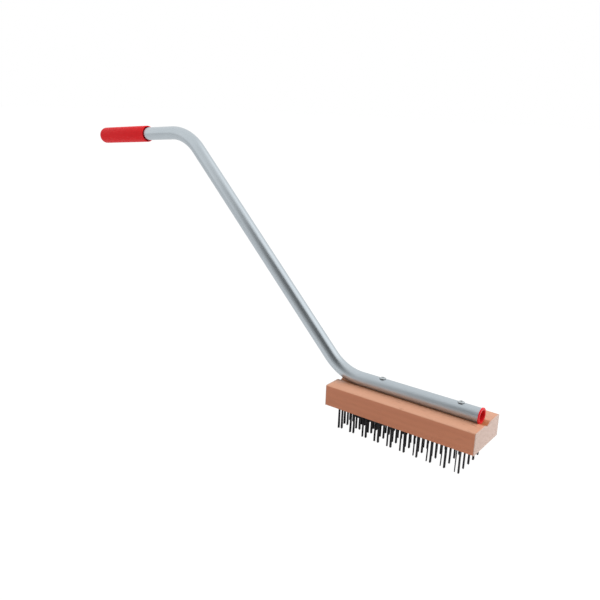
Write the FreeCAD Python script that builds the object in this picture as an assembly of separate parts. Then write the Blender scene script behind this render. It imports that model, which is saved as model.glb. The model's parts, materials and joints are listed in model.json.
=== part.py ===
import FreeCAD, Part
import math
import os
import random

# Long-handled wire scrub brush, in millimetres.
#
# A hardwood block carries fifty tufts of flat steel wire on its underside. A cranked steel
# tube lies in a groove along the block's top, held by two screws. A soft grip closes the
# tube's upper end and a push-in plug closes its lower end. Nothing on it moves.
#
# Frame: +X runs along the block towards the plug, +Y runs across it, +Z is up. The origin
# is on the plane of the bristle tips, at the middle of the brush's length and width.

# Overall
overall_length = 753.0

# Wooden block
block_length = 227.0
block_width = 76.0
block_height = 30.5
corner_round = 0.8
long_edge_round = 1.4
groove_half_width = 10.4

# Handle tube: a straight foot on the block, a steep run and a nearly level hand section
tube_diameter = 21.0
tube_wall = 1.0
tube_sink = 3.1
bend_radius = 75.0
heel_reach = 223.0
run_reach = 318.0
run_rise = 325.2
hand_droop = math.radians(4.55)

# Soft grip over the tube's upper end
grip_length = 117.6
grip_diameter = 26.4
grip_end_round = 9.0
grip_end_facets = 2

# Push-in plug in the tube's lower end
plug_setback = 8.8
plug_flange_diameter = 23.0
plug_flange_thickness = 2.0
plug_body_length = 14.0
plug_bore_diameter = 16.2
plug_floor = 1.6

# Screws through the tube into the block
screw_setbacks = (39.0, 157.1)
screw_length = 30.0
screw_diameter = 4.2
screw_head_diameter = 9.0
screw_head_crown = 5.6
screw_head_height = 2.1
screw_seat_depth = 0.3

# Wire tufts: each is three flat wires folded into a U over an anchor staple
tuft_rows = 5
tuft_columns = 10
row_pitch = 15.2
column_pitch = 20.1
tuft_hole_width = 9.0
tuft_hole_depth = 16.0
hole_flats = 8
bristle_length = 35.2
wire_width = 2.2
wire_thickness = 0.7
fold_half_width = 3.0
longest_shortfall = 1.8
trim_slope = 2.8
inner_spread = 0.45
outer_spread = 0.5
scatter_seed = 7

# Anchor staples driven across the folds of the wires
anchor_thickness = 0.9
anchor_height = 3.2

# Clearances: a sliding gap, and a gap between pieces that bear on each other
slip = 0.05
touch = 0.02

# Places worked out from the sizes above
block_end = overall_length / 2
block_start = block_end - block_length
block_middle = block_end - block_length / 2
block_bottom = bristle_length
block_top = block_bottom + block_height
tube_radius = tube_diameter / 2
bore_radius = tube_radius - tube_wall
axis_height = tube_radius - tube_sink
foot_axis = block_top + axis_height
screw_seat = foot_axis + tube_radius - screw_seat_depth
hole_ceiling = block_bottom + tuft_hole_depth
last_column = block_middle + (tuft_columns - 1) / 2 * column_pitch

tube_mouth = FreeCAD.Vector(block_end - plug_setback - plug_flange_thickness, 0, foot_axis)
heel = FreeCAD.Vector(block_end - heel_reach, 0, foot_axis)
crown = FreeCAD.Vector(heel.x - run_reach, 0, foot_axis + run_rise)
hand_direction = FreeCAD.Vector(-math.cos(hand_droop), 0, -math.sin(hand_droop))
grip_nose_radius = grip_diameter / 2 - grip_end_round
nose_lean = grip_nose_radius * math.sin(hand_droop)
hand_length = (crown.x + overall_length / 2 - nose_lean) / math.cos(hand_droop)
grip_tip = crown + hand_direction * hand_length
grip_mouth = grip_tip - hand_direction * grip_length
tube_top_end = grip_tip - hand_direction * (grip_end_round + touch)

along = FreeCAD.Vector(1, 0, 0)
across = FreeCAD.Vector(0, 1, 0)
up = FreeCAD.Vector(0, 0, 1)


def prism(points, sweep):
    """Solid swept from a flat polygon."""
    return Part.Face(Part.makePolygon(points + points[:1])).extrude(sweep)


def turned(outline, origin, direction):
    """Solid turned from (radius, height) points, with its height pointing in a direction."""
    points = [FreeCAD.Vector(radius, 0, height) for radius, height in outline]
    solid = Part.Face(Part.makePolygon(points + points[:1])).revolve(FreeCAD.Vector(), up, 360)
    solid.Placement = FreeCAD.Placement(origin, FreeCAD.Rotation(up, direction))
    return solid


def rounded_slab(corner, side, rise, radius, sweep):
    """Rectangle with four rounded corners, spanned by two sides from a corner and swept."""
    side_step = FreeCAD.Vector(side).normalize() * radius
    rise_step = FreeCAD.Vector(rise).normalize() * radius
    bulge = 1 - math.sqrt(0.5)
    corners = [corner, corner + side, corner + side + rise, corner + rise]
    steps = [side_step, rise_step, side_step * -1, rise_step * -1]
    edges = []
    for number in range(4):
        here, there = corners[number], corners[(number + 1) % 4]
        ahead, turn = steps[number], steps[(number + 1) % 4]
        edges.append(Part.LineSegment(here + ahead, there - ahead).toShape())
        middle = there + (turn - ahead) * bulge
        edges.append(Part.Arc(there - ahead, middle, there + turn).toShape())
    return Part.Face(Part.Wire(edges)).extrude(sweep)


def drill(x, y, bottom, top, width):
    """Upright cutter for a hole in the wood, given a few flats as its wall."""
    radius = width / 2 / math.cos(math.pi / hole_flats)
    angles = [2 * math.pi * (number + 0.5) / hole_flats for number in range(hole_flats)]
    points = [FreeCAD.Vector(x + radius * math.cos(angle), y + radius * math.sin(angle), bottom)
              for angle in angles]
    return prism(points, up * (top - bottom))


def tuft_places():
    """Row number, column number, X and Y of each tuft hole."""
    places = []
    for row in range(tuft_rows):
        for column in range(tuft_columns):
            x = block_middle + (column - (tuft_columns - 1) / 2) * column_pitch
            y = (row - (tuft_rows - 1) / 2) * row_pitch
            places.append((row + 1, column + 1, x, y))
    return places


def screw_places():
    """X place of each screw."""
    return [block_end - setback for setback in screw_setbacks]


def groove_cutter():
    """Shallow V groove, the block's whole length, whose two flanks are tangent to the tube."""
    reach = math.hypot(groove_half_width, axis_height)
    flank = math.atan2(groove_half_width, axis_height) - math.acos((tube_radius + touch) / reach)
    depth = groove_half_width * math.tan(flank)
    start = block_start - 1
    points = [
        FreeCAD.Vector(start, -2 * groove_half_width, block_top + depth),
        FreeCAD.Vector(start, 0, block_top - depth),
        FreeCAD.Vector(start, 2 * groove_half_width, block_top + depth),
    ]
    return prism(points, along * (block_length + 2))


def flange_bed():
    """Cutter for the shallow bed that the plug's flange presses into the groove."""
    radius = plug_flange_diameter / 2 + touch
    return Part.makeCylinder(radius, plug_flange_thickness + 2 * touch, tube_mouth, along)


def wood_block():
    """Block with its long and upright edges rounded, the tube's groove, and all its holes."""
    corner = FreeCAD.Vector(block_start, -block_width / 2, block_bottom)
    length = along * block_length
    width = across * block_width
    height = up * block_height
    block = rounded_slab(corner, width, height, long_edge_round, length)
    block = block.common(rounded_slab(corner, length, width, corner_round, height))
    cutters = [groove_cutter(), flange_bed()]
    for _, _, x, y in tuft_places():
        cutters.append(drill(x, y, block_bottom - 1, hole_ceiling, tuft_hole_width))
    screw_tip = screw_seat - screw_length
    for x in screw_places():
        cutters.append(drill(x, 0, screw_tip - slip, block_top, screw_diameter + slip))
    return block.cut(cutters)


def bend(before, corner, after):
    """Tangent points and middle point of the arc that rounds a corner of the handle."""
    to_before = (before - corner).normalize()
    to_after = (after - corner).normalize()
    half_angle = to_before.getAngle(to_after) / 2
    tangent_length = bend_radius / math.tan(half_angle)
    inward = (to_before + to_after).normalize()
    middle = corner + inward * (bend_radius / math.sin(half_angle) - bend_radius)
    return corner + to_before * tangent_length, middle, corner + to_after * tangent_length


def handle_path():
    """Centre line of the handle: three straights joined by two tangent arcs."""
    heel_start, heel_middle, heel_finish = bend(tube_mouth, heel, crown)
    crown_start, crown_middle, crown_finish = bend(heel, crown, tube_top_end)
    return Part.Wire([
        Part.LineSegment(tube_mouth, heel_start).toShape(),
        Part.Arc(heel_start, heel_middle, heel_finish).toShape(),
        Part.LineSegment(heel_finish, crown_start).toShape(),
        Part.Arc(crown_start, crown_middle, crown_finish).toShape(),
        Part.LineSegment(crown_finish, tube_top_end).toShape(),
    ])


def swept_rod(path, radius):
    """Round rod of one radius along the handle's centre line."""
    section = Part.Wire(Part.makeCircle(radius, tube_mouth, along))
    return path.makePipeShell([section], True, True)


def handle_tube():
    """Cranked tube, drilled through at each screw and flattened under each screw head."""
    path = handle_path()
    tube = swept_rod(path, tube_radius).cut(swept_rod(path, bore_radius))
    hole_radius = screw_diameter / 2 + slip
    seat_radius = screw_head_diameter / 2 + slip
    cutters = []
    for x in screw_places():
        below = FreeCAD.Vector(x, 0, foot_axis - tube_diameter)
        cutters.append(Part.makeCylinder(hole_radius, 2 * tube_diameter, below, up))
        seat = FreeCAD.Vector(x, 0, screw_seat)
        cutters.append(Part.makeCylinder(seat_radius, tube_wall, seat, up))
    return tube.cut(cutters)


def hand_grip():
    """Closed sleeve over the tube, whose rounded end starts where the tube stops."""
    outer = grip_diameter / 2
    inner = tube_radius + slip
    shoulder = grip_length - grip_end_round
    outline = [(inner, 0), (outer, 0)]
    for facet in range(grip_end_facets + 1):
        angle = math.pi / 2 * facet / grip_end_facets
        radius = grip_nose_radius + grip_end_round * math.cos(angle)
        outline.append((radius, shoulder + grip_end_round * math.sin(angle)))
    outline += [(0, grip_length), (0, shoulder), (inner, shoulder)]
    return turned(outline, grip_mouth, hand_direction)


def end_plug():
    """Hollow plug: a flange against the tube's end and a skirt that fills its bore."""
    flange = plug_flange_diameter / 2
    skirt = bore_radius - slip
    bore = plug_bore_diameter / 2
    inner_end = -plug_body_length
    outline = [
        (0, inner_end),
        (skirt, inner_end),
        (skirt, touch),
        (flange, touch),
        (flange, plug_flange_thickness),
        (bore, plug_flange_thickness),
        (bore, inner_end + plug_floor),
        (0, inner_end + plug_floor),
    ]
    return turned(outline, tube_mouth, along)


def tube_screws():
    """The two screws: a low crowned head and a plain shank."""
    head = screw_head_diameter / 2
    shank = screw_diameter / 2
    outline = [
        (0, screw_head_height),
        (screw_head_crown / 2, screw_head_height),
        (head, 0),
        (shank, 0),
        (shank, -screw_length),
        (0, -screw_length),
    ]
    seats = [FreeCAD.Vector(x, 0, screw_seat + touch) for x in screw_places()]
    return Part.makeCompound([turned(outline, seat, up) for seat in seats])


def folded_wire(x, y_low, half_width, ceiling, spreads, shortfalls):
    """One flat wire folded into a U: its fold lies against the hole's ceiling, and its two legs
    reach down, spread a little at their tips, each stopping its own height above the floor."""
    left = half_width + spreads[0]
    right = half_width + spreads[1]
    inside = half_width - wire_thickness
    left_tip, right_tip = shortfalls
    corners = [
        (-left, left_tip),
        (-half_width, ceiling),
        (half_width, ceiling),
        (right, right_tip),
        (right - wire_thickness, right_tip),
        (inside, ceiling - wire_thickness),
        (-inside, ceiling - wire_thickness),
        (wire_thickness - left, left_tip),
    ]
    points = [FreeCAD.Vector(x + offset, y_low, height) for offset, height in corners]
    return prism(points, across * wire_width)


def tuft(x, y, dice):
    """Three folded wires: two side by side, and a third nested inside them. One leg of each
    tuft is trimmed to the line of the tips, which rises a little towards the block's start."""
    trim = trim_slope * (last_column - x) / (tuft_columns - 1) / column_pitch
    inner = [dice.uniform(0, inner_spread) for _ in range(2)]
    layers = [
        (y - wire_width - touch, 0),
        (y + touch, 0),
        (y - wire_width / 2, 1),
    ]
    longest = dice.randrange(len(layers))
    wires = []
    for number, (y_low, layer) in enumerate(layers):
        sunk = layer * (wire_thickness + touch)
        spreads = inner
        if layer == 0:
            spreads = [spread + dice.uniform(0, outer_spread) for spread in inner]
        shortfalls = [trim + dice.uniform(0, longest_shortfall) for _ in range(2)]
        if number == longest:
            shortfalls[dice.randrange(2)] = trim
        wires.append(folded_wire(x, y_low, fold_half_width - sunk,
                                 hole_ceiling - touch - sunk, spreads, shortfalls))
    return Part.makeCompound(wires)


def anchor_staples():
    """One flat staple in each hole, driven across the tuft just inside its folds."""
    top = hole_ceiling - 2 * (wire_thickness + touch) - touch
    span = tuft_hole_width - 2 * touch
    staples = []
    for _, _, x, y in tuft_places():
        corner = FreeCAD.Vector(x - anchor_thickness / 2, y - span / 2, top - anchor_height)
        staples.append(Part.makeBox(anchor_thickness, span, anchor_height, corner))
    return Part.makeCompound(staples)


def build():
    """Every piece of the brush, by node name."""
    pieces = {
        "wood_block": wood_block(),
        "handle_tube": handle_tube(),
        "hand_grip": hand_grip(),
        "end_plug": end_plug(),
        "tube_screws": tube_screws(),
        "anchor_staples": anchor_staples(),
    }
    dice = random.Random(scatter_seed)
    for row, column, x, y in tuft_places():
        pieces[f"tuft_row{row}_col{column:02d}"] = tuft(x, y, dice)
    return pieces


os.makedirs("parts", exist_ok=True)
for node, shape in build().items():
    shape.exportStep(f"parts/{node}.step")
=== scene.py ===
"""Looks of the long-handled wire scrub brush: wood, zinc-plated tube, red vinyl and tempered wire."""
import json
import math

import bpy
from mathutils import Euler, Matrix, Vector


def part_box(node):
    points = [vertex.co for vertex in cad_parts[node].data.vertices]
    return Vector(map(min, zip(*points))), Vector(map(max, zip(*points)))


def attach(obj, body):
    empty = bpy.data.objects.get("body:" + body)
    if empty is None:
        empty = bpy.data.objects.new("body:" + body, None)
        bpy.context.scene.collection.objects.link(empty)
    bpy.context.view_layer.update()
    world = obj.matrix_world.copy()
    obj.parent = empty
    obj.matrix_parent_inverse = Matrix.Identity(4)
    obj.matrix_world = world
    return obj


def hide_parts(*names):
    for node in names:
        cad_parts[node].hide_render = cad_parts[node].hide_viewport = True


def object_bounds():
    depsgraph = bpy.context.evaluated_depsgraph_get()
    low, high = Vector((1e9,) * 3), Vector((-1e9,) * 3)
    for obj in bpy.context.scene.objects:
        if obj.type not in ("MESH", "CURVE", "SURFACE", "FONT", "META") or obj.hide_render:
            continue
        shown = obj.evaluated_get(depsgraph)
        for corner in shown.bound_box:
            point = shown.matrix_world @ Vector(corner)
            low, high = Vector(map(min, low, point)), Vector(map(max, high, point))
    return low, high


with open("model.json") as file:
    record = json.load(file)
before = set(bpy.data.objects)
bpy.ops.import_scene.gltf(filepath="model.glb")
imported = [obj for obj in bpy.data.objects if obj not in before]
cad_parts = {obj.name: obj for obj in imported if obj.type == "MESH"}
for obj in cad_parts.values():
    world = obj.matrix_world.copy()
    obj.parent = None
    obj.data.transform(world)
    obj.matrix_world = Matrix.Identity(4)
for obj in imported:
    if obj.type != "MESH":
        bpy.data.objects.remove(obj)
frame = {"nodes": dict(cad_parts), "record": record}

cad_low, cad_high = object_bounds()
mm = 0.001

# ---------------------------------------------------------------------------------------------
# Sizes, in metres, beside those that come from the frame
# ---------------------------------------------------------------------------------------------
block_low, block_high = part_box("wood_block")
plug_low, plug_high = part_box("end_plug")
grip_mount = next(mount for mount in frame["record"]["mounts"] if mount["name"] == "grip")

corner_round = 0.8 * mm
top_edge_round = 2.2 * mm
foot_edge_round = 1.3 * mm
groove_half_width = 10.4 * mm
hole_radius = 4.5 * mm
hole_depth = 16.0 * mm
hole_flare = 0.35 * mm
drill_overrun = 1.0 * mm
groove_edge_round = 0.5 * mm
column_pitch = 20.1 * mm
row_pitch = 15.2 * mm
tuft_rows = 5
tuft_columns = 10

# Wires: how close each leg's wires are in the first column, how that changes from column to column
# on the handle's side (-1) and the far side (1), and how their tips are spread and levelled
leg_closeness = 0.71
closeness_step = {-1: -0.048, 1: -0.006}
leg_offset = 3.0 * mm
tip_spread = 1.8
tip_levelling = 0.12
wire_swell = 0.2 * mm
wire_edge_round = 0.14 * mm
wave_depth = 0.8 * mm
wire_levels = 7

tube_radius = 10.46 * mm
tube_wall = 1.0 * mm
bend_radius = 75.0 * mm
heel_reach = 223.0 * mm
run_reach = 318.0 * mm
run_rise = 325.2 * mm
tube_sides = 72

grip_radius = 13.2 * mm
grip_length = 117.54 * mm
grip_end_round = 9.0 * mm
grip_bore_radius = 10.55 * mm
grip_lip_round = 1.15 * mm
grip_lip_flare = 1.35 * mm
grip_lip_depth = grip_lip_flare * 1.4

plug_flange_radius = 11.5 * mm
plug_flange_thickness = 2.0 * mm
plug_skirt_radius = 9.42 * mm
plug_skirt_length = 14.0 * mm
plug_bore_radius = 8.1 * mm
plug_floor = 1.6 * mm
plug_tip_round = 0.8 * mm
plug_edge_round = 0.45 * mm

screw_setbacks = (39.0 * mm, 157.1 * mm)
screw_head_radius = 4.5 * mm
screw_head_height = 2.1 * mm
screw_head_rim = 0.55 * mm
screw_shank_radius = 2.1 * mm
screw_length = 30.0 * mm
screw_point = 5.0 * mm
screw_seat_depth = 0.3 * mm

touch = 0.02 * mm

block_centre = (block_low + block_high) / 2
block_size = block_high - block_low
foot_height = (plug_low.z + plug_high.z) / 2
tube_mouth = Vector((plug_high.x - plug_flange_thickness, 0, foot_height))
heel = Vector((block_high.x - heel_reach, 0, foot_height))
crown = heel + Vector((-run_reach, 0, run_rise))
hand_direction = Vector(grip_mount["axis"]).normalized()
grip_middle = Vector(grip_mount["pos_m"])
grip_mouth = grip_middle - hand_direction * (grip_length - grip_end_round) / 2
tube_top_end = grip_mouth + hand_direction * (grip_length - grip_end_round - touch)
screw_seat = foot_height + tube_radius - screw_seat_depth

along = Vector((1, 0, 0))
up = Vector((0, 0, 1))


# ---------------------------------------------------------------------------------------------
# Modelling helpers
# ---------------------------------------------------------------------------------------------
def take_up(piece):
    """Makes a piece the only one that is selected."""
    bpy.ops.object.select_all(action="DESELECT")
    piece.hide_set(False)
    piece.select_set(True)
    bpy.context.view_layer.objects.active = piece


def started(name):
    """The primitive just added, named, with its place put into its mesh."""
    piece = bpy.context.active_object
    piece.name = name
    piece.data.name = name
    take_up(piece)
    bpy.ops.object.transform_apply(location=True, rotation=True, scale=True)
    return piece


def pick(piece, kind, wanted):
    """Opens a piece for editing with just the wanted faces or edges selected."""
    take_up(piece)
    bpy.ops.object.mode_set(mode="EDIT")
    bpy.ops.mesh.select_mode(type=kind)
    bpy.ops.mesh.select_all(action="DESELECT")
    bpy.ops.object.mode_set(mode="OBJECT")
    mesh = piece.data
    if kind == "FACE":
        for face in mesh.polygons:
            face.select = wanted(face.center, face.normal)
    else:
        for edge in mesh.edges:
            start, end = (mesh.vertices[number].co for number in edge.vertices)
            edge.select = wanted((start + end) / 2, (end - start).normalized())
    bpy.ops.object.mode_set(mode="EDIT")


def open_whole(piece):
    """Opens a piece for editing with all of it selected."""
    take_up(piece)
    bpy.ops.object.mode_set(mode="EDIT")
    bpy.ops.mesh.select_all(action="SELECT")


def close_up():
    """Ends the editing of a piece."""
    bpy.ops.object.mode_set(mode="OBJECT")


def extrude(step):
    """Extrudes what is selected by a step."""
    bpy.ops.mesh.extrude_region_move(TRANSFORM_OT_translate={"value": step})


def use(piece, kind, **settings):
    """Adds a modifier to a piece and applies it."""
    take_up(piece)
    modifier = piece.modifiers.new(kind.title(), kind)
    for setting, value in settings.items():
        setattr(modifier, setting, value)
    bpy.ops.object.modifier_apply(modifier=modifier.name)


def carve(piece, cutter):
    """Cuts the shape of a cutter out of a piece and throws the cutter away."""
    use(piece, "BOOLEAN", operation="DIFFERENCE", solver="EXACT", object=cutter)
    bpy.data.objects.remove(cutter)


def join(name, pieces):
    """Joins several meshes into one object."""
    bpy.ops.object.select_all(action="DESELECT")
    for piece in pieces:
        piece.select_set(True)
    bpy.context.view_layer.objects.active = pieces[0]
    bpy.ops.object.join()
    pieces[0].name = name
    pieces[0].data.name = name
    return pieces[0]


def copied(piece, name):
    """A second piece with a mesh of its own."""
    twin = piece.copy()
    twin.data = piece.data.copy()
    twin.name = name
    twin.data.name = name
    bpy.context.collection.objects.link(twin)
    return twin


def smooth(piece, degrees=35):
    """Smooth shading, with edges kept where the surface turns sharply."""
    take_up(piece)
    bpy.ops.object.shade_smooth_by_angle(angle=math.radians(degrees))


def stand_along(piece, origin, direction):
    """Moves a piece that was modelled upright at the origin so that its up points in a direction."""
    turn = up.rotation_difference(direction).to_matrix().to_4x4()
    piece.matrix_world = Matrix.Translation(origin) @ turn
    take_up(piece)
    bpy.ops.object.transform_apply(location=True, rotation=True, scale=True)


def finish_piece(piece, material, slot, *nodes):
    """Gives a piece its material and its place in the frame."""
    piece.data.materials.clear()
    piece.data.materials.append(material)
    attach(piece, "root")
    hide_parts(*nodes)


# ---------------------------------------------------------------------------------------------
# Shader helpers
# ---------------------------------------------------------------------------------------------
class Signal:
    """A shader socket that can be added, subtracted, multiplied, divided and raised to a power."""

    def __init__(self, recipe, socket):
        self.recipe = recipe
        self.socket = socket

    def maths(self, operation, first, second):
        settings = {"operation": operation}
        return self.recipe.add("ShaderNodeMath", settings, {0: first, 1: second})

    def __add__(self, other):
        return self.maths("ADD", self, other)

    def __radd__(self, other):
        return self.maths("ADD", other, self)

    def __sub__(self, other):
        return self.maths("SUBTRACT", self, other)

    def __rsub__(self, other):
        return self.maths("SUBTRACT", other, self)

    def __mul__(self, other):
        return self.maths("MULTIPLY", self, other)

    def __rmul__(self, other):
        return self.maths("MULTIPLY", other, self)

    def __truediv__(self, other):
        return self.maths("DIVIDE", self, other)

    def __pow__(self, other):
        return self.maths("POWER", self, other)


class Recipe:
    """A material or world under construction."""

    def __init__(self, owner):
        owner.use_nodes = True
        self.tree = owner.node_tree
        self.tree.nodes.clear()

    def add(self, kind, settings, sockets, result=0):
        """Adds a node: its settings first, then values or signals for its sockets."""
        node = self.tree.nodes.new(kind)
        for setting, value in settings.items():
            setattr(node, setting, value)
        for name, value in sockets.items():
            if isinstance(value, Signal):
                self.tree.links.new(value.socket, node.inputs[name])
            else:
                node.inputs[name].default_value = value
        if not node.outputs:
            return None
        return Signal(self, node.outputs[result])

    def place(self):
        """Object coordinates, in metres."""
        return self.add("ShaderNodeTexCoord", {}, {}, "Object")

    def mapped(self, place, scale=(1, 1, 1), shift=(0, 0, 0)):
        """Coordinates moved by a shift, then scaled."""
        moved = self.add("ShaderNodeVectorMath", {"operation": "ADD"}, {0: place, 1: shift})
        return self.add("ShaderNodeVectorMath", {"operation": "MULTIPLY"}, {0: moved, 1: scale})

    def parted(self, place):
        """The three parts of a place."""
        node = self.tree.nodes.new("ShaderNodeSeparateXYZ")
        self.tree.links.new(place.socket, node.inputs[0])
        return [Signal(self, part) for part in node.outputs]

    def size_of(self, value):
        """A value without its sign."""
        return self.add("ShaderNodeMath", {"operation": "ABSOLUTE"}, {0: value})

    def noise(self, place, scale, detail=2.0, roughness=0.5):
        """Soft noise about 0.5."""
        sockets = {"Vector": place, "Scale": scale, "Detail": detail, "Roughness": roughness}
        return self.add("ShaderNodeTexNoise", {}, sockets)

    def ramp(self, value, low, high, to_low=0.0, to_high=1.0):
        """Smooth step of a value from one range to another."""
        sockets = {"Value": value, 1: low, 2: high, 3: to_low, 4: to_high}
        return self.add("ShaderNodeMapRange", {"interpolation_type": "SMOOTHSTEP"}, sockets)

    def blend(self, factor, first, second):
        """Mix of two colours."""
        sockets = {0: factor, 6: first, 7: second}
        return self.add("ShaderNodeMix", {"data_type": "RGBA"}, sockets, 2)

    def bump(self, height, distance, strength=1.0):
        """Surface normal for a relief whose height is given in a distance."""
        return self.add("ShaderNodeBump", {}, {"Height": height, "Distance": distance, "Strength": strength})

    def rays(self):
        """Whether a ray comes from the camera, a gloss or a clear surface."""
        node = self.tree.nodes.new("ShaderNodeLightPath")
        names = ("Is Camera Ray", "Is Glossy Ray", "Is Transmission Ray")
        return [Signal(self, node.outputs[name]) for name in names]

    def surface(self, sockets):
        """Ends the recipe in one main shader."""
        shader = self.add("ShaderNodeBsdfPrincipled", {}, sockets)
        self.add("ShaderNodeOutputMaterial", {}, {"Surface": shader})


def new_recipe(name):
    """An empty material and its recipe."""
    material = bpy.data.materials.new(name)
    return material, Recipe(material)


def colour(red, green, blue):
    """An opaque colour."""
    return (red, green, blue, 1.0)


# ---------------------------------------------------------------------------------------------
# Materials
# ---------------------------------------------------------------------------------------------
def sealed_wood():
    """Hardwood with its long faces stained and sealed, and pale sawn end grain; its top is painted paler and
    less saturated than its sides as painted sheen, and its groove darker with painted shade.
    """
    material, wood = new_recipe("sealed_wood")
    place = wood.mapped(wood.place(), shift=tuple(-block_centre))
    lengthwise, widthwise, height = wood.parted(place)
    from_middle = wood.size_of(lengthwise)
    end = wood.ramp(from_middle, block_size.x / 2 - 1.6 * mm, block_size.x / 2 - 0.3 * mm)
    top_level = block_size.z / 2
    top = wood.ramp(height, top_level - 1.6 * mm, top_level - 0.2 * mm)
    from_centre = wood.size_of(widthwise)
    inside_groove = wood.ramp(from_centre, groove_half_width - 1.2 * mm, groove_half_width, 1.0, 0.0)
    groove_shade_mask = inside_groove * wood.ramp(height, top_level - 4.5 * mm, top_level - 4.2 * mm)

    # Growth rings about a line along the block, well below it, wandering a little lengthwise
    ring_place = wood.mapped(place, scale=(0.12, 1, 1), shift=(0, 0.021, 0.055))
    rings = wood.add(
        "ShaderNodeTexWave",
        {"wave_type": "RINGS", "rings_direction": "X", "wave_profile": "SIN"},
        {"Vector": ring_place, "Scale": 36.0, "Distortion": 5.0, "Detail": 2.0, "Detail Scale": 0.9},
        "Fac",
    )
    figure = wood.noise(wood.mapped(place, scale=(0.10, 1, 1)), 75.0, 3.0)
    grain = wood.noise(wood.mapped(place, scale=(0.035, 1, 1)), 1100.0, 3.0, 0.6)
    pores = wood.noise(wood.mapped(place, scale=(0.07, 1, 1)), 1500.0, 1.0)
    pore_mask = wood.ramp(pores, 0.66, 0.76)
    fleck_place = wood.mapped(place, scale=(0.22, 1, 1))
    flecks = wood.ramp(wood.noise(fleck_place, 330.0, 0.0), 0.72, 0.79)

    tone = rings * 0.22 + figure * 0.50 + grain * 0.22 - 0.02
    side_colour = wood.blend(tone, colour(0.575, 0.205, 0.098), colour(0.475, 0.158, 0.073))
    # Painted sheen: the top is given a paler, less saturated colour than the sides.
    top_colour_with_sheen = wood.blend(tone, colour(0.670, 0.345, 0.218), colour(0.585, 0.285, 0.174))
    face_colour = wood.blend(top, side_colour, top_colour_with_sheen)
    face_colour = wood.blend(pore_mask * 0.13, face_colour, colour(0.30, 0.10, 0.052))
    face_colour = wood.blend(flecks * (0.12 + top * 0.3), face_colour, colour(0.30, 0.10, 0.055))
    # Painted shade: the groove under the tube is painted a darker brown.
    face_colour = wood.blend(groove_shade_mask * 0.75, face_colour, colour(0.42, 0.15, 0.046))

    end_rings = rings * 0.16 + wood.noise(place, 420.0, 3.0) * 0.5 + pore_mask * 0.25
    end_colour = wood.blend(end_rings, colour(0.62, 0.475, 0.415), colour(0.50, 0.36, 0.295))
    base = wood.blend(end, face_colour, end_colour)

    relief = grain * 0.6 - pore_mask * 0.8 + rings * 0.2
    wood.surface({
        "Base Color": base,
        "Roughness": 0.50 + grain * 0.16 + end * 0.1,
        "IOR": 1.5,
        "Coat Weight": (1 - end) * 0.2,
        "Coat Roughness": 0.24,
        "Normal": wood.bump(relief, 0.05 * mm, 0.6),
    })
    return material


def zinc_tube():
    """Zinc-plated drawn tube: bluish, faintly clouded, with fine drawing lines along it."""
    material, zinc = new_recipe("zinc_tube")
    unrolled = zinc.add("ShaderNodeUVMap", {"uv_map": "unrolled"}, {})
    share, reach, _ = zinc.parted(unrolled)
    turn = share * (2 * math.pi)
    side = zinc.add("ShaderNodeMath", {"operation": "COSINE"}, {0: turn}) * tube_radius
    rise = zinc.add("ShaderNodeMath", {"operation": "SINE"}, {0: turn}) * tube_radius
    around = zinc.add("ShaderNodeCombineXYZ", {}, {"X": side, "Y": rise, "Z": reach})
    drawn_lines = zinc.noise(zinc.mapped(around, scale=(1, 1, 0.012)), 1500.0, 2.0)
    clouds = zinc.noise(zinc.mapped(around, scale=(1, 1, 0.35)), 110.0, 3.0)
    patches = zinc.noise(zinc.mapped(around, scale=(1, 1, 0.5)), 38.0, 2.0)
    specks = zinc.ramp(zinc.noise(around, 900.0, 1.0), 0.70, 0.78)
    scuffed = zinc.ramp(reach, heel_reach * 0.75, heel_reach * 1.05, 1.0, 0.0)

    tone = clouds * 0.6 + patches * 0.5 + drawn_lines * 0.25 - 0.18
    base = zinc.blend(tone, colour(0.475, 0.535, 0.575), colour(0.575, 0.625, 0.66))
    base = zinc.blend(specks * 0.2, base, colour(0.36, 0.40, 0.43))
    zinc.surface({
        "Base Color": base,
        "Metallic": 1.0,
        "Roughness": 0.22 + clouds * 0.12 + drawn_lines * 0.04 + scuffed * 0.18,
        "Normal": zinc.bump(drawn_lines * 0.5 + clouds * 0.5, 0.03 * mm, 0.35),
    })
    return material


def grip_vinyl():
    """Soft dipped vinyl: satin red, faintly mottled."""
    material, vinyl = new_recipe("grip_vinyl")
    place = vinyl.place()
    mottle = vinyl.noise(place, 160.0, 3.0)
    skin = vinyl.noise(place, 2600.0, 2.0)
    base = vinyl.blend(mottle, colour(0.84, 0.014, 0.020), colour(0.74, 0.011, 0.016))
    vinyl.surface({
        "Base Color": base,
        "Roughness": 0.42 + mottle * 0.14,
        "Specular IOR Level": 0.16,
        "Normal": vinyl.bump(skin * 0.5 + mottle * 0.5, 0.06 * mm, 0.4),
    })
    return material


def plug_plastic():
    """Glossy moulded red plastic, with its recess painted a deeper, darker red as painted shade, and duller
    there.
    """
    material, plastic = new_recipe("plug_plastic")
    place = plastic.place()
    flow = plastic.noise(place, 260.0, 2.0)
    base = plastic.blend(flow, colour(0.80, 0.022, 0.034), colour(0.68, 0.015, 0.024))
    _, across, height = plastic.parted(place)
    rise = height - foot_height
    reach = (across * across + rise * rise) ** 0.5
    # Painted shade: the recess is painted a deeper, darker red, and is also made rougher.
    recess_shade_and_dullness = plastic.ramp(reach, plug_bore_radius - 0.2 * mm, plug_bore_radius + 0.3 * mm, 1.0, 0.0)
    base = plastic.blend(recess_shade_and_dullness, base, colour(0.62, 0.003, 0.005))
    plastic.surface({
        "Base Color": base,
        "Roughness": 0.26 + flow * 0.12 + recess_shade_and_dullness * 0.4,
        "IOR": 1.3,
        "Normal": plastic.bump(flow, 0.05 * mm, 0.25),
    })
    return material


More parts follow.
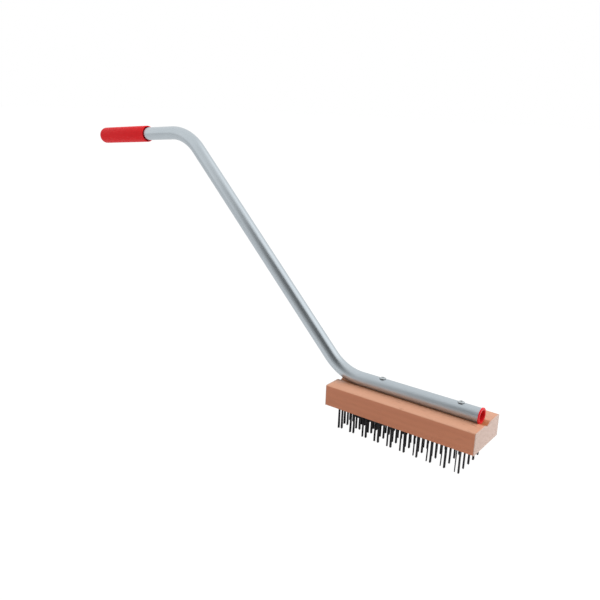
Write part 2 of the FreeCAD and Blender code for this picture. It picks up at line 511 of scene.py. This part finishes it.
def screw_zinc():
    """Bright zinc plate on the screws, with painted shade darkening the foot of each head."""
    material, zinc = new_recipe("screw_zinc")
    place = zinc.place()
    cloud = zinc.noise(place, 700.0, 2.0)
    height = zinc.parted(place)[2]
    # Painted shade: the foot of each head is painted near black.
    rim_painted_shade = zinc.ramp(height, screw_seat + 0.5 * mm, screw_seat + 1.5 * mm, 0.8, 0.0)
    base = zinc.blend(cloud, colour(0.55, 0.59, 0.61), colour(0.42, 0.46, 0.48))
    base = zinc.blend(rim_painted_shade, base, colour(0.06, 0.07, 0.075))
    zinc.surface({
        "Base Color": base,
        "Metallic": 1.0,
        "Roughness": 0.16 + cloud * 0.12,
        "Normal": zinc.bump(cloud, 0.02 * mm, 0.3),
    })
    return material


def tempered_wire():
    """Blue-black tempered spring steel, with bare cut tips."""
    material, steel = new_recipe("tempered_wire")
    place = steel.place()
    height = steel.parted(place)[2]
    scale_marks = steel.noise(steel.mapped(place, scale=(1, 1, 0.12)), 1400.0, 3.0)
    temper = steel.noise(place, 90.0, 2.0)
    base = steel.blend(temper, colour(0.020, 0.022, 0.026), colour(0.040, 0.038, 0.040))
    base = steel.blend(scale_marks * 0.3, base, colour(0.010, 0.010, 0.012))
    worn = steel.ramp(height, 0.0, 3.2 * mm, 0.35, 0.0)
    base = steel.blend(worn, base, colour(0.13, 0.13, 0.135))
    steel.surface({
        "Base Color": base,
        "Metallic": 0.85,
        "Roughness": 0.34 + scale_marks * 0.2,
        "Normal": steel.bump(scale_marks, 0.03 * mm, 0.5),
    })
    return material


def staple_steel():
    """Plain steel of the anchors inside the wood."""
    material, steel = new_recipe("staple_steel")
    cloud = steel.noise(steel.place(), 800.0, 2.0)
    base = steel.blend(cloud, colour(0.42, 0.42, 0.42), colour(0.34, 0.34, 0.35))
    steel.surface({"Base Color": base, "Metallic": 1.0, "Roughness": 0.3 + cloud * 0.15})
    return material


# ---------------------------------------------------------------------------------------------
# Wooden block
# ---------------------------------------------------------------------------------------------
def hole_cutter():
    """Cutter for one tuft hole: a round drill with a slight flare at the hole's mouth."""
    depth = hole_depth + drill_overrun
    bpy.ops.mesh.primitive_cylinder_add(vertices=36, radius=hole_radius, depth=depth)
    cutter = started("hole_cutter")
    pick(cutter, "FACE", lambda middle, normal: normal.z < -0.5)
    bpy.ops.mesh.inset(thickness=0, depth=0)
    bpy.ops.transform.translate(value=(0, 0, drill_overrun))
    bpy.ops.mesh.inset(thickness=0, depth=0)
    bpy.ops.transform.translate(value=(0, 0, -hole_flare))
    grow = (hole_radius + hole_flare) / hole_radius
    bpy.ops.transform.resize(value=(grow, grow, 1))
    bpy.ops.mesh.inset(thickness=0, depth=0)
    bpy.ops.transform.translate(value=(0, 0, -drill_overrun))
    close_up()
    return cutter


def wood_block():
    """Block with its upright and long edges rounded, grooved along its top and drilled from below."""
    bpy.ops.mesh.primitive_cube_add(size=1, location=block_centre, scale=block_size)
    block = started("scrub_block")
    pick(block, "EDGE", lambda middle, line: abs(line.z) > 0.9)
    bpy.ops.mesh.bevel(offset=corner_round, segments=4, affect="EDGES")
    close_up()
    for height, edge_round in ((block_high.z, top_edge_round), (block_low.z, foot_edge_round)):
        pick(block, "EDGE", lambda middle, line: abs(line.x) > 0.9 and abs(middle.z - height) < touch)
        bpy.ops.mesh.bevel(offset=edge_round, segments=6, affect="EDGES")
        close_up()
    carve(block, groove_cutter())
    soften_groove(block)
    carve(block, flange_bed_cutter())
    for cutter in hole_cutters():
        carve(block, cutter)
    smooth(block, 30)
    return block


def groove_cutter():
    """V-shaped cutter whose two flanks are tangent to the tube."""
    axis_height = foot_height - block_high.z
    reach = math.hypot(groove_half_width, axis_height)
    flank = math.atan2(groove_half_width, axis_height) - math.acos((tube_radius + touch) / reach)
    depth = groove_half_width * math.tan(flank)
    margin = 3.0
    length = block_size.x * 1.2
    bpy.ops.mesh.primitive_cube_add(
        size=1,
        location=(block_centre.x, 0, block_high.z + depth * (margin - 1) / 2),
        scale=(length, 2 * groove_half_width * margin, depth * (margin + 1)),
    )
    cutter = started("groove_cutter")
    pick(cutter, "FACE", lambda middle, normal: normal.z < -0.5)
    bpy.ops.transform.resize(value=(1, 0, 1), center_override=(block_centre.x, 0, block_high.z))
    bpy.ops.mesh.select_all(action="SELECT")
    bpy.ops.mesh.remove_doubles(threshold=touch / 10)
    bpy.ops.mesh.normals_make_consistent(inside=False)
    close_up()
    return cutter


def soften_groove(block):
    """Rounds the two long edges of the groove."""
    near = 0.3 * mm
    pick(block, "EDGE", lambda middle, line: abs(line.x) > 0.95 and abs(
        middle.z - block_high.z) < near and abs(abs(middle.y) - groove_half_width) < near)
    bpy.ops.mesh.bevel(offset=groove_edge_round, segments=3, affect="EDGES")
    close_up()


def flange_bed_cutter():
    """Cutter for the bed that the plug's flange presses into the groove."""
    length = plug_flange_thickness + 2 * touch
    bpy.ops.mesh.primitive_cylinder_add(vertices=96, radius=plug_flange_radius + touch, depth=length)
    cutter = started("flange_bed_cutter")
    stand_along(cutter, tube_mouth + along * (length / 2), along)
    return cutter


def hole_cutters():
    """One joined cutter for each row of tuft holes, and one for the screws' pilot holes."""
    pattern = hole_cutter()
    cutters = []
    for row in range(tuft_rows):
        y = (row - (tuft_rows - 1) / 2) * row_pitch
        drills = []
        for column in range(tuft_columns):
            x = block_centre.x + (column - (tuft_columns - 1) / 2) * column_pitch
            drill = copied(pattern, f"drill_{column}")
            middle = (hole_depth - drill_overrun) / 2
            stand_along(drill, Vector((x, y, block_low.z + middle)), up)
            drills.append(drill)
        cutters.append(join(f"hole_row_{row}", drills))
    bpy.data.objects.remove(pattern)
    for setback in screw_setbacks:
        tip = screw_seat - screw_length
        depth = block_high.z - tip
        bpy.ops.mesh.primitive_cylinder_add(
            vertices=24, radius=screw_shank_radius + touch, depth=depth,
            location=(block_high.x - setback, 0, tip + depth / 2 - touch))
        cutters.append(started("pilot_drill"))
    return cutters


# ---------------------------------------------------------------------------------------------
# Handle tube
# ---------------------------------------------------------------------------------------------
def bend_facts(before, corner, after):
    """Length of each tangent, centre and turn of the bend that rounds a corner of the handle."""
    to_before = (before - corner).normalized()
    to_after = (after - corner).normalized()
    half_angle = to_before.angle(to_after) / 2
    tangent = bend_radius / math.tan(half_angle)
    centre = corner + (to_before + to_after).normalized() * (bend_radius / math.sin(half_angle))
    return tangent, centre, math.pi - 2 * half_angle


def straight(step, count):
    """Extrudes the tube's open end along a straight, in several equal lengths."""
    for _ in range(count):
        extrude(step / count)


def handle_tube():
    """The tube as one drawn length: its mouth ring is pulled straight and spun round each bend."""
    heel_tangent, heel_centre, heel_turn = bend_facts(tube_mouth, heel, crown)
    crown_tangent, crown_centre, crown_turn = bend_facts(heel, crown, tube_top_end)
    run = (crown - heel).normalized()
    bpy.ops.mesh.primitive_circle_add(
        vertices=tube_sides, radius=tube_radius, fill_type="NOTHING",
        location=tube_mouth, rotation=(0, math.radians(90), 0))
    tube = started("cranked_tube")
    bpy.ops.object.mode_set(mode="EDIT")
    bpy.ops.mesh.select_mode(type="EDGE")
    bpy.ops.mesh.select_all(action="SELECT")
    straight(heel + along * heel_tangent - tube_mouth, 24)
    bpy.ops.mesh.spin(steps=22, angle=-heel_turn, center=heel_centre, axis=(0, 1, 0))
    straight((crown - run * crown_tangent) - (heel + run * heel_tangent), 30)
    bpy.ops.mesh.spin(steps=22, angle=crown_turn, center=crown_centre, axis=(0, 1, 0))
    straight(tube_top_end - (crown + hand_direction * crown_tangent), 14)
    bpy.ops.mesh.select_all(action="SELECT")
    bpy.ops.mesh.normals_make_consistent(inside=False)
    close_up()
    unroll(tube)
    use(tube, "SOLIDIFY", thickness=tube_wall, offset=-1, use_even_offset=True)
    for setback in screw_setbacks:
        for cutter in screw_cutters(block_high.x - setback):
            carve(tube, cutter)
    smooth(tube, 40)
    return tube


def unroll(tube):
    """Gives the tube a map of its own: share of a turn across, and metres along."""
    mesh = tube.data
    rings = len(mesh.vertices) // tube_sides
    middles = []
    for ring in range(rings):
        corners = [mesh.vertices[ring * tube_sides + side].co for side in range(tube_sides)]
        middles.append(sum(corners, Vector()) / tube_sides)
    reach = [0.0]
    for before, after in zip(middles, middles[1:]):
        reach.append(reach[-1] + (after - before).length)
    unrolled = mesh.uv_layers.new(name="unrolled")
    for face in mesh.polygons:
        sides = [mesh.loops[loop].vertex_index % tube_sides for loop in face.loop_indices]
        crosses_seam = max(sides) - min(sides) > 1
        for loop, side in zip(face.loop_indices, sides):
            ring = mesh.loops[loop].vertex_index // tube_sides
            share = (tube_sides if crosses_seam and side == 0 else side) / tube_sides
            unrolled.data[loop].uv = (share, reach[ring])


def screw_cutters(x):
    """Cutters for the flat that a screw head makes on the tube, and for the screw's two holes."""
    flat_height = 2.0 * mm
    bpy.ops.mesh.primitive_cylinder_add(
        vertices=48, radius=screw_head_radius + 0.25 * mm, depth=flat_height,
        location=(x, 0, screw_seat + flat_height / 2))
    flat = started("seat_cutter")
    bpy.ops.mesh.primitive_cylinder_add(
        vertices=36, radius=screw_shank_radius + 0.05 * mm, depth=4 * tube_radius,
        location=(x, 0, foot_height))
    return flat, started("shank_cutter")


# ---------------------------------------------------------------------------------------------
# Grip, plug and screws
# ---------------------------------------------------------------------------------------------
def hand_grip():
    """Closed vinyl sleeve: a round bar with a domed end, bored from its mouth."""
    bpy.ops.mesh.primitive_cylinder_add(
        vertices=72, radius=grip_radius, depth=grip_length, location=(0, 0, grip_length / 2))
    grip = started("vinyl_grip")
    pick(grip, "FACE", lambda middle, normal: normal.z > 0.9)
    bpy.ops.mesh.bevel(offset=grip_end_round, segments=14, affect="EDGES")
    close_up()
    pick(grip, "FACE", lambda middle, normal: normal.z < -0.9)
    bpy.ops.mesh.inset(thickness=grip_radius - grip_bore_radius - grip_lip_flare)
    bpy.ops.mesh.inset(thickness=grip_lip_flare, depth=-grip_lip_depth)
    extrude((0, 0, grip_length - grip_end_round - grip_lip_depth))
    close_up()
    pick(grip, "EDGE", lambda middle, line: abs(middle.z) < grip_lip_round / 10 and abs(
        middle.xy.length - grip_radius) < grip_lip_round)
    bpy.ops.mesh.bevel(offset=grip_lip_round, segments=4, affect="EDGES")
    close_up()
    stand_along(grip, grip_mouth, hand_direction)
    smooth(grip, 50)
    return grip


def end_plug():
    """Moulded plug: a flange with eased edges, a deep recess and a skirt inside the tube."""
    bpy.ops.mesh.primitive_cylinder_add(
        vertices=72, radius=plug_flange_radius, depth=plug_flange_thickness - touch,
        location=(0, 0, (plug_flange_thickness + touch) / 2))
    plug = started("push_in_plug")
    pick(plug, "FACE", lambda middle, normal: normal.z < -0.9)
    bpy.ops.mesh.inset(thickness=plug_flange_radius - plug_skirt_radius)
    extrude((0, 0, -plug_skirt_length - touch))
    bpy.ops.mesh.bevel(offset=plug_tip_round, segments=3, affect="EDGES")
    close_up()
    pick(plug, "FACE", lambda middle, normal: normal.z > 0.9 and middle.z > 0)
    bpy.ops.mesh.inset(thickness=plug_flange_radius - plug_bore_radius)
    extrude((0, 0, -(plug_flange_thickness + plug_skirt_length - plug_floor)))
    close_up()
    pick(plug, "EDGE", lambda middle, line: abs(line.z) < 0.1 and middle.z > touch * 2 and (
        middle.xy.length > plug_bore_radius * 0.98))
    bpy.ops.mesh.bevel(offset=plug_edge_round, segments=4, affect="EDGES")
    close_up()
    stand_along(plug, tube_mouth, along)
    smooth(plug, 50)
    return plug


def screw_pattern():
    """One screw: a domed head with a cross recess, a shank and a point."""
    bpy.ops.mesh.primitive_cylinder_add(
        vertices=48, radius=screw_head_radius, depth=screw_head_rim,
        location=(0, 0, screw_head_rim / 2))
    screw = started("screw_pattern")
    pick(screw, "FACE", lambda middle, normal: normal.z > 0.9)
    rings = 9
    dome = screw_head_height - screw_head_rim
    radius, height = screw_head_radius, 0.0
    for ring in range(1, rings + 1):
        angle = math.pi / 2 * ring / (rings + 0.6)
        next_radius = screw_head_radius * math.cos(angle) ** 0.8
        next_height = dome * math.sin(angle)
        extrude((0, 0, next_height - height))
        bpy.ops.transform.resize(value=(next_radius / radius, next_radius / radius, 1))
        radius, height = next_radius, next_height
    close_up()
    pick(screw, "FACE", lambda middle, normal: normal.z < -0.9)
    bpy.ops.mesh.inset(thickness=screw_head_radius - screw_shank_radius)
    extrude((0, 0, screw_point - screw_length))
    extrude((0, 0, -screw_point))
    bpy.ops.transform.resize(value=(0.08, 0.08, 1))
    close_up()
    for turn in (0, 90):
        bpy.ops.mesh.primitive_cube_add(
            size=1, location=(0, 0, screw_head_height), rotation=(0, 0, math.radians(turn)),
            scale=(screw_head_radius * 1.15, 0.85 * mm, 2.6 * mm))
        slot = started("slot_cutter")
        pick(slot, "FACE", lambda middle, normal: normal.z < -0.9)
        bpy.ops.transform.resize(value=(0.55, 0.55, 1))
        close_up()
        carve(screw, slot)
    return screw


def tube_screws():
    """Both screws, turned by different amounts, as one piece."""
    pattern = screw_pattern()
    screws = []
    for number, setback in enumerate(screw_setbacks):
        screw = copied(pattern, f"screw_{number}")
        turn = Matrix.Rotation(math.radians(20 + 55 * number), 4, "Z")
        screw.matrix_world = Matrix.Translation((block_high.x - setback, 0, screw_seat + touch)) @ turn
        take_up(screw)
        bpy.ops.object.transform_apply(location=True, rotation=True, scale=True)
        screws.append(screw)
    bpy.data.objects.remove(pattern)
    pair = join("zinc_screws", screws)
    smooth(pair, 40)
    return pair


# ---------------------------------------------------------------------------------------------
# Wire tufts
# ---------------------------------------------------------------------------------------------
def wave_textures():
    """Slow waves that the wires follow, one for each direction across them."""
    waves = []
    for number, size in enumerate((26.0 * mm, 21.0 * mm)):
        wave = bpy.data.textures.new(f"wire_wave_{number}", "CLOUDS")
        wave.noise_scale = size
        wave.noise_depth = 1
        waves.append(wave)
    return waves


def wire_tuft(node, middle, column, waves):
    """Refined copy of a tuft's solids, with its wires closer in y the further it is from the handle."""
    tuft = copied(frame["nodes"][node], node.replace("tuft_", "wires_"))
    tuft.hide_render = False
    tuft.hide_viewport = False
    open_whole(tuft)
    bpy.ops.mesh.remove_doubles(threshold=touch / 10)
    bpy.ops.mesh.dissolve_limited(angle_limit=math.radians(1))
    close_up()
    for side in (-1, 1):
        def on_leg(place):
            return (place.x - middle.x) * side > 0 and place.z < block_low.z
        closeness = leg_closeness + (column - 1) * closeness_step[side]
        pick(tuft, "FACE", lambda place, normal: abs(normal.x) > 0.8 and on_leg(place))
        bpy.ops.transform.resize(value=(1, closeness, 1), center_override=middle)
        close_up()
        tips = [face.center.z for face in tuft.data.polygons if face.normal.z < -0.8 and on_leg(face.center)]
        leg_end = middle + along * (side * leg_offset) + up * min(tips)
        pick(tuft, "FACE", lambda place, normal: normal.z < -0.8 and on_leg(place))
        bpy.ops.transform.resize(value=(tip_spread * closeness, 1, tip_levelling), center_override=leg_end)
        close_up()
    open_whole(tuft)
    for level in range(1, wire_levels):
        bpy.ops.mesh.select_all(action="SELECT")
        height = block_low.z * level / wire_levels + 2 * mm
        bpy.ops.mesh.bisect(plane_co=(0, 0, height), plane_no=(0, 0, 1))
    close_up()
    free_part = tuft.vertex_groups.new(name="free_part")
    for vertex in tuft.data.vertices:
        drop = max(0.0, 1 - vertex.co.z / block_low.z)
        free_part.add([vertex.index], drop ** 1.3, "REPLACE")
    for wave, direction in zip(waves, "XY"):
        use(tuft, "DISPLACE", texture=wave, direction=direction, strength=wave_depth,
            mid_level=0.5, texture_coords="GLOBAL", vertex_group="free_part")
    use(tuft, "DISPLACE", direction="NORMAL", strength=wire_swell, mid_level=0.0)
    open_whole(tuft)
    shrink = block_low.z / (block_low.z + 2 * wire_swell)
    bpy.ops.transform.resize(value=(1, 1, shrink), center_override=(0, 0, block_low.z))
    close_up()
    use(tuft, "BEVEL", width=wire_edge_round, segments=2, limit_method="ANGLE", angle_limit=math.radians(50))
    smooth(tuft, 40)
    return tuft


# ---------------------------------------------------------------------------------------------
# Stage, light and camera
# ---------------------------------------------------------------------------------------------
def lay_floor():
    """Pale floor under the brush, which keeps its shadow."""
    bpy.ops.mesh.primitive_plane_add(size=30, location=(0, 0, -0.2 * mm))
    floor = bpy.context.active_object
    floor.name = "floor"
    material, paint = new_recipe("floor_paint")
    camera_ray, glossy_ray, clear_ray = paint.rays()
    matt = paint.add("ShaderNodeBsdfDiffuse", {}, {"Color": colour(0.78, 0.78, 0.785)})
    glow = paint.add("ShaderNodeEmission", {}, {"Color": colour(1, 1, 1), "Strength": 1.06})
    seen = camera_ray * 0.94 + clear_ray * 0.94 + glossy_ray * 0.30
    mixed = paint.add("ShaderNodeMixShader", {}, {0: seen, 1: matt, 2: glow})
    paint.add("ShaderNodeOutputMaterial", {}, {"Surface": mixed})
    floor.data.materials.append(material)


def light_world():
    """Even white studio surroundings, with a brighter soft box on the right in reflections."""
    world = bpy.data.worlds.new("studio")
    bpy.context.scene.world = world
    sky = Recipe(world)
    camera_ray, glossy_ray, clear_ray = sky.rays()
    heading = sky.add("ShaderNodeTexCoord", {}, {}, "Generated")
    across, rise = math.radians(54), math.radians(38)
    aim = (math.sin(across) * math.cos(rise), math.cos(across) * math.cos(rise), math.sin(rise))
    facing = sky.add("ShaderNodeVectorMath", {"operation": "DOT_PRODUCT"}, {0: heading, 1: aim}, "Value")
    soft_box = sky.ramp(facing, math.cos(math.radians(38)), math.cos(math.radians(8)))
    seen = camera_ray + clear_ray + glossy_ray * (1.0 + soft_box * 0.42)
    matt_only = 1 - camera_ray - clear_ray - glossy_ray
    strength = seen + matt_only * 0.66
    back = sky.add("ShaderNodeBackground", {}, {"Color": colour(1, 1, 1), "Strength": strength})
    sky.add("ShaderNodeOutputWorld", {}, {"Surface": back})


def hang_dark_card():
    """Dark card with soft edges in front of the brush, which only gloss shows, as a streak on the tube."""
    bpy.ops.mesh.primitive_plane_add(
        size=4, location=(0.67, -0.55, 0.86), rotation=(math.radians(90), math.radians(-60), 0))
    card = bpy.context.active_object
    card.name = "dark_card"
    material, cloth = new_recipe("dark_card_cloth")
    place = cloth.place()
    lengthwise, crosswise, _ = cloth.parted(place)
    cover = cloth.ramp(cloth.size_of(lengthwise), 0.5, 1.5, 1.0, 0.0)
    cover = cover * cloth.ramp(cloth.size_of(crosswise), 0.26, 0.66, 1.0, 0.0)
    clear = cloth.add("ShaderNodeBsdfTransparent", {}, {})
    dark = cloth.add("ShaderNodeEmission", {}, {"Color": colour(1, 1, 1), "Strength": 0.15})
    mixed = cloth.add("ShaderNodeMixShader", {}, {0: cover, 1: clear, 2: dark})
    cloth.add("ShaderNodeOutputMaterial", {}, {"Surface": mixed})
    card.data.materials.append(material)
    card.visible_camera = False
    card.visible_diffuse = False
    card.visible_transmission = False
    card.visible_shadow = False


def hang_lamp(name, place, aim, size, power):
    """Large soft lamp that points at a place on the brush."""
    bpy.ops.object.light_add(type="AREA", location=place)
    lamp = bpy.context.active_object
    lamp.name = name
    lamp.data.shape = "DISK"
    lamp.data.size = size
    lamp.data.energy = power
    lamp.rotation_euler = (Vector(aim) - Vector(place)).to_track_quat("-Z", "Y").to_euler()
    lamp.visible_glossy = False
    return lamp


def set_camera():
    """Camera at the customer's side of the brush, a little above its block."""
    azimuth, elevation, roll = 36.715, 16.526, 1.946
    bpy.ops.object.camera_add(location=(0.6530, -0.7817, 0.4570))
    camera = bpy.context.active_object
    turn = Euler((math.radians(90 - elevation), 0, math.radians(azimuth))).to_matrix()
    lean = Matrix.Rotation(math.radians(roll), 3, "Z")
    camera.rotation_euler = (turn @ lean).to_euler()
    camera.data.sensor_width = 36
    camera.data.lens = 40.897
    camera.data.clip_end = 100
    bpy.context.scene.camera = camera


# ---------------------------------------------------------------------------------------------
# The brush
# ---------------------------------------------------------------------------------------------
finish_piece(wood_block(), sealed_wood(), "wood", "wood_block")
finish_piece(handle_tube(), zinc_tube(), "galvanised_tube", "handle_tube")
finish_piece(hand_grip(), grip_vinyl(), "red_grip", "hand_grip")
finish_piece(end_plug(), plug_plastic(), "red_plug", "end_plug")
finish_piece(tube_screws(), screw_zinc(), "screw_steel", "tube_screws")

wire = tempered_wire()
waves = wave_textures()
for row in range(1, tuft_rows + 1):
    for column in range(1, tuft_columns + 1):
        node = f"tuft_row{row}_col{column:02d}"
        x = block_centre.x + (column - (tuft_columns + 1) / 2) * column_pitch
        middle = Vector((x, (row - (tuft_rows + 1) / 2) * row_pitch, 0))
        finish_piece(wire_tuft(node, middle, column, waves), wire, "dark_wire", node)

staples = frame["nodes"]["anchor_staples"]
staples.data.materials.clear()
staples.data.materials.append(staple_steel())

lay_floor()
light_world()
hang_dark_card()
brush_middle = (cad_low + cad_high) / 2
hang_lamp("key_lamp", (1.6, 1.0, 2.3), brush_middle, 3.0, 64)
set_camera()
bpy.context.scene.view_settings.view_transform = "Standard"
